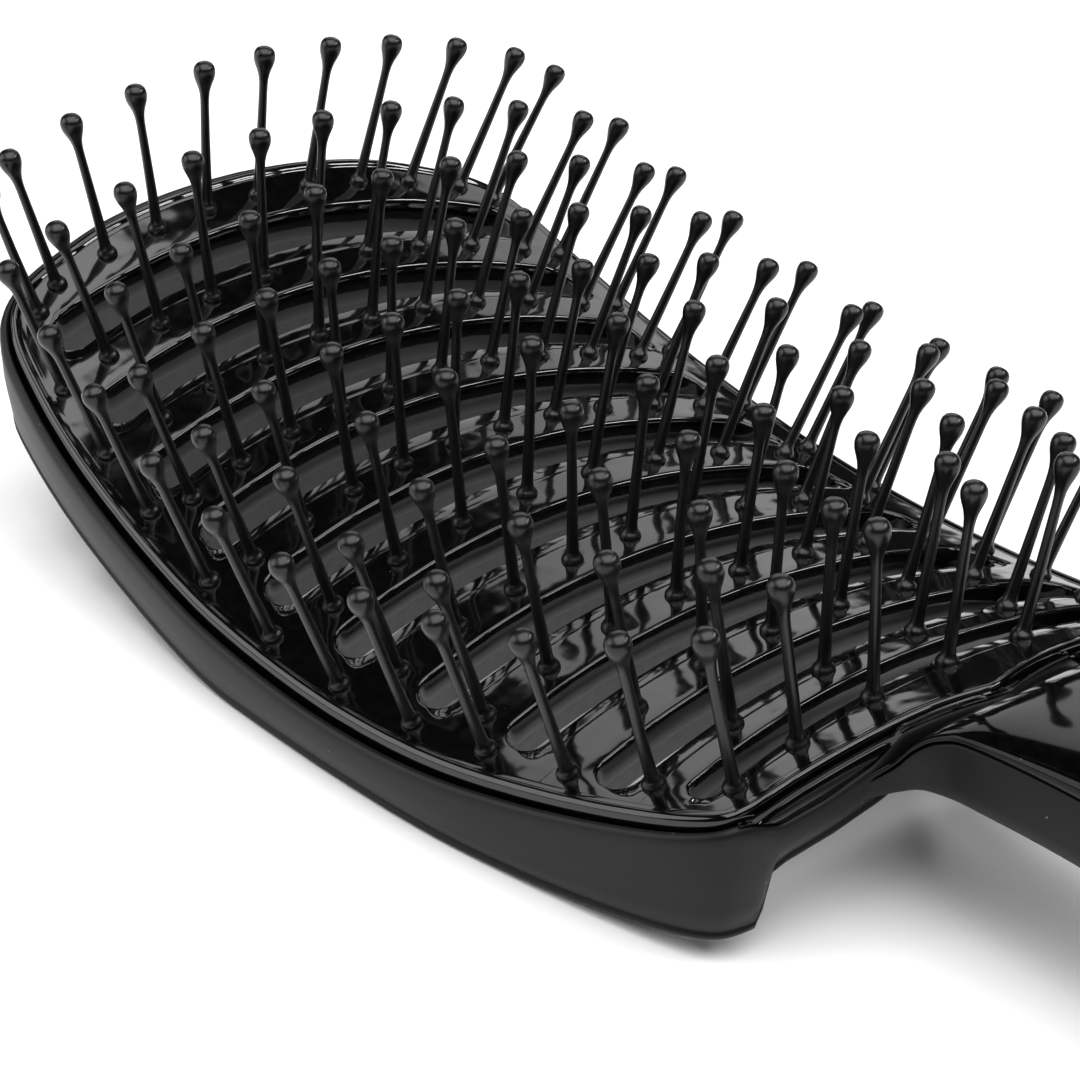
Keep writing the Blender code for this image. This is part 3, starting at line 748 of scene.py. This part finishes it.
def plate_cell(index):
    """Grid round one slot, from the underside up its wall and out over the top to its cell's rim."""
    loop, blend = slot_loop(index)
    rim = cell_rim(index, loop, blend)
    room = np.linalg.norm(rim - loop, axis=1, keepdims=True)
    direction = (rim - loop) / room
    ledge = smooth_step((blend - LEDGE_START) / (1 - LEDGE_START))[:, None]
    low = wall_depth(loop[:, :1])
    steps = [np.hstack((out * (1 - ledge), low)) for out in (SLOT_FLARE, 0.0)]
    steps += [plain * (1 - ledge) + sunk * ledge for plain, sunk in zip(PLAIN_EDGE, SUNK_EDGE)]
    rows = [np.column_stack((rim, sheet(*rim.T) - PLATE_DEPTH))]
    for step in steps:
        plan = loop + direction * np.minimum(step[:, :1], room * CELL_ROOM_SHARE)
        rows.append(np.column_stack((plan, sheet(*plan.T) - step[:, 1])))
    inner = rows[-1][:, :2]
    for share in TOP_SHARES:
        plan = inner + (rim - inner) * share
        rows.append(np.column_stack((plan, sheet(*plan.T))))
    return np.stack(rows, axis=1)


def plate_border():
    """Ring outside the cells: its profile carried round the outline and hung from the sheet."""
    rows = []
    for inset, drop in BORDER_PROFILE:
        plan = set_in(inset)
        rows.append(np.column_stack((plan, sheet(*plan.T) - drop)))
    return np.stack(rows, axis=1)


def joined(name, items):
    """One piece made of several, welded where they meet."""
    with bpy.context.temp_override(active_object=items[0], selected_editable_objects=items):
        bpy.ops.object.join()
    item = face_out(items[0])
    item.name = name
    return item


def pin_plate():
    made = [lofted("plate_border", plate_border(), close_along=True, close_round=False)]
    for index in range(LAST_SLOT + 1):
        cell = lofted("plate_cell", plate_cell(index), close_along=True, close_round=False)
        made.append(face_out(cell))
    return place(joined("glossy_pin_plate", made), PLATE_GLOSS, "gloss_black", "pin_plate")


pin_plate()

# Pins
# Half glossy black plastic pins, moulded with the plate or pressed into it from below. Each stands on a round
# collar, leans a little to the handle and outwards, and ends in a drop-shaped ball.
PIN_LENGTH = 15.0 * MM
PIN_SIDES = 16
PIN_LEAN = 0.055
PIN_LEAN_CHANGE = 0.11
PIN_LEAN_MIDDLE = 0.575
PIN_SPLAY_DEPTH = 66 * MM
ROW_SETBACK = 2.75 * MM
LAST_ROW_SHARE = 0.944
ROW_PIN_COUNTS = (9, 9, 9, 10, 10, 8, 9, 8, 6, 4, 5)
ROW_REACH_SHARES = (0.690, 0.708, 0.715, 0.758, 0.758, 0.758, 0.768, 0.735, 0.553, 0.450, 0.487)
ROW_SHIFT_SHARES = (0, 0.012, 0.022, -0.022, -0.022, 0.022, 0, -0.010, 0.031, 0, 0.049)
EDGE_PIN_SHARES = (
    (0.074, 0.778),
    (0.156, 0.848),
    (0.238, 0.868),
    (0.317, 0.885),
    (0.417, 0.902),
    (0.508, 0.899),
    (0.597, 0.890),
    (0.680, 0.862),
    (0.755, 0.823),
    (0.832, 0.776),
    (0.899, 0.706),
    (0.956, 0.632),
)

# On the +Y side the rows' pins, and the edge pins as near the middle as those, lean out further
FAR_LEAN = 0.17
ROW_LIMIT = 28.5 * MM

# Each pin's tip is bent aside by chance, and the edge pins' tips always to the handle and inwards
BEND_SEED = 7
BEND_SPREAD = 0.18 * MM
BEND_LIMIT = 0.3 * MM
EDGE_BEND = 0.14 * MM
EDGE_BEND_SPREAD = 0.12 * MM

# Radius and height, from the collar up the shank to the top of the ball
PIN_PROFILE = np.array((
    (1.00, -0.4),
    (1.00, 0.10),
    (0.96, 0.28),
    (0.88, 0.42),
    (0.78, 0.54),
    (0.69, 0.66),
    (0.62, 0.82),
    (0.575, 1.02),
    (0.54, 1.4),
    (0.50, 4.0),
    (0.455, 8.0),
    (0.43, 11.4),
    (0.445, 12.2),
    (0.50, 12.8),
    (0.60, 13.3),
    (0.74, 13.74),
    (0.89, 14.14),
    (1.01, 14.52),
    (1.08, 14.92),
    (1.08, 15.24),
    (1.00, 15.56),
    (0.81, 15.83),
    (0.54, 15.99),
    (0.26, 16.06),
    (0.0, 16.08),
)) * MM
SATIN_GREY = 0.0015
SATIN_MOTTLE_GREY = 0.003
SATIN_SHEEN = 0.42
SATIN_ROUGHNESS = 0.27
SATIN_ROUGHNESS_CHANGE = 0.08
MOTTLE_SCALE = 700
SATIN_GRAIN_SCALE = 2600
SATIN_GRAIN_STRENGTH = 0.10
SATIN_GRAIN_HEIGHT = 0.02 * MM


def satin():
    """The pins' plastic: black, half glossy, with slight mottling."""
    material, shader, spot = new_material("satin_black", Specular_IOR_Level=SATIN_SHEEN)
    mottle = spot.noise(MOTTLE_SCALE, detail=3)
    grain = spot.noise(SATIN_GRAIN_SCALE, detail=2)
    feed(shader, "Base Color", mottle.mix(grey(SATIN_GREY), grey(SATIN_MOTTLE_GREY)))
    feed(shader, "Roughness", mottle * SATIN_ROUGHNESS_CHANGE + SATIN_ROUGHNESS)
    feed(shader, "Normal", grain.bump(SATIN_GRAIN_STRENGTH, SATIN_GRAIN_HEIGHT))
    return material


SATIN = satin()


def pin_grid(place_x, place_y, bend):
    """One turned pin: the profile spun round its leaning axis, which moves aside by bend (z / length)^2."""
    turn = np.linspace(0, math.tau, PIN_SIDES, endpoint=False)
    radius, height = PIN_PROFILE.T[:, :, None]
    ring = np.stack((radius * np.cos(turn), radius * np.sin(turn), height + 0 * turn), axis=-1)
    lean = PIN_LEAN + PIN_LEAN_CHANGE * (PIN_LEAN_MIDDLE - (place_x - TIP) / HEAD_LENGTH)
    outward = place_y / PIN_SPLAY_DEPTH
    if abs(place_y) < ROW_LIMIT:
        outward += FAR_LEAN * (max(0, place_y) / HALF_WIDTH) ** 2
    direction = Vector((lean, outward, 1)).normalized()
    turned = ring @ np.array(direction.to_track_quat("Z", "Y").to_matrix()).T
    share = np.clip(height / PIN_LENGTH, 0, None) ** 2
    turned[..., :2] += share[..., None] * bend
    return turned + (place_x, place_y, sheet(place_x, place_y))


def pin_group(name, places, node, bends):
    made = [lofted(name, pin_grid(x, y, bend)) for (x, y), bend in zip(places, bends)]
    return place(joined(name, made), SATIN, "gloss_black", node)


def row_places(index):
    """Even steps across a bar, set back from the slot behind it. The last row has no slot behind it."""
    reach = HALF_WIDTH * ROW_REACH_SHARES[index]
    y = np.linspace(-reach, reach, ROW_PIN_COUNTS[index]) + HALF_WIDTH * ROW_SHIFT_SHARES[index]
    if index > LAST_SLOT:
        return np.column_stack((bar_x(LAST_ROW_SHARE, y), y))
    return np.column_stack((bar_x(BAR_EDGE_SHARES[index], y) - ROW_SETBACK, y))


def all_pins():
    """Eleven rows and then the two lines of edge pins, which is also the order of the random bends."""
    chance = np.random.default_rng(BEND_SEED)
    for index in range(len(ROW_PIN_COUNTS)):
        places = row_places(index)
        bends = np.clip(chance.normal(0, BEND_SPREAD, (len(places), 2)), -BEND_LIMIT, BEND_LIMIT)
        pin_group(f"pins_{index + 1:02d}", places, f"pin_row_{index + 1:02d}", bends)
    for name, side in (("left", 1), ("right", -1)):
        places = np.array(EDGE_PIN_SHARES) * (HEAD_LENGTH, HALF_WIDTH * side) + (TIP, 0)
        bends = EDGE_BEND + np.abs(chance.normal(0, EDGE_BEND_SPREAD, (len(places), 2)))
        pin_group(f"pins_edge_{name}", places, f"edge_pins_{name}", bends * (1, -side))


all_pins()

# Floor and backdrop
# A pale matte floor under the brush, and a world that is white to the camera and nearly dark to the brush,
# so that the backdrop adds hardly any light to it.
FLOOR_SIZE = 2.6
FLOOR_GREY = 0.9
FLOOR_ROUGHNESS = 0.8
WORLD_GREY = 0.012
BACKDROP_GREY = 1.0


def floor():
    mesh = bpy.data.meshes.new("floor")
    half = FLOOR_SIZE / 2
    corners = [(-half, -half, 0), (half, -half, 0), (half, half, 0), (-half, half, 0)]
    mesh.from_pydata(corners, [], [(0, 1, 2, 3)])
    item = bpy.data.objects.new("floor", mesh)
    bpy.context.scene.collection.objects.link(item)
    material, _, _ = new_material("pale_floor", Base_Color=grey(FLOOR_GREY), Roughness=FLOOR_ROUGHNESS)
    mesh.materials.append(material)


def backdrop():
    world = bpy.data.worlds.new("white")
    bpy.context.scene.world = world
    world.use_nodes = True
    tree = world.node_tree
    seen = Wire(tree, tree.nodes.new("ShaderNodeLightPath").outputs["Is Camera Ray"])
    shader = tree.nodes["Background"]
    feed(shader, "Color", seen.mix(grey(WORLD_GREY), grey(BACKDROP_GREY)))
    shader.inputs["Strength"].default_value = 1


floor()
backdrop()


# Lights
# Four soft boxes aimed at the middle of the head. As the camera sees it, one is behind, one at the left and
# one, a narrow strip, at the right. The fourth is wide and overhead.
def soft_light(name, direction, distance, size, power):
    light = bpy.data.lights.new(name, "AREA")
    light.shape = "RECTANGLE"
    light.size, light.size_y = size
    light.energy = power
    item = bpy.data.objects.new(name, light)
    bpy.context.scene.collection.objects.link(item)
    away = Vector(direction).normalized()
    target = Vector((TIP + HEAD_LENGTH / 2, 0, SHEET_HEIGHT))
    item.location = target + away * distance
    item.rotation_euler = away.to_track_quat("Z", "Y").to_euler()


soft_light("back_left_box", direction=(-0.67, 0.58, 0.46), distance=0.9, size=(0.75, 0.40), power=1.35)
soft_light("front_left_box", direction=(-0.64, -0.77, 0.45), distance=0.9, size=(0.7, 0.6), power=3.6)
soft_light("strip", direction=(0.46, 0.58, 0.67), distance=0.9, size=(0.6, 0.07), power=2.8)
soft_light("overhead_box", direction=(0.22, -0.12, 1.0), distance=3.0, size=(4.0, 4.0), power=182)

# Camera
# The photograph's viewpoint, fitted to the feet of the pins and to the rims, with a 36 mm wide sensor. It
# looks down at the head from beside the handle.
SENSOR_WIDTH = 36
LENS = 87.8
CLIP_START = 0.01
CLIP_END = 20
CAMERA_SPOT = Vector((97.896, -142.123, 119.312)) * MM
CAMERA_RIGHT = Vector((0.63666, 0.77021, 0.03787)).normalized()
CAMERA_BACK = Vector((0.67218, -0.57836, 0.46225)).normalized()


def camera():
    data = bpy.data.cameras.new("camera")
    data.sensor_width = SENSOR_WIDTH
    data.lens = LENS
    data.clip_start = CLIP_START
    data.clip_end = CLIP_END
    item = bpy.data.objects.new("camera", data)
    bpy.context.scene.collection.objects.link(item)
    up = CAMERA_BACK.cross(CAMERA_RIGHT).normalized()
    turn = Matrix((CAMERA_RIGHT, up, CAMERA_BACK)).transposed()
    item.matrix_world = Matrix.Translation(CAMERA_SPOT) @ turn.to_4x4()
    bpy.context.scene.camera = item


camera()
bpy.context.scene.view_settings.view_transform = "Standard"
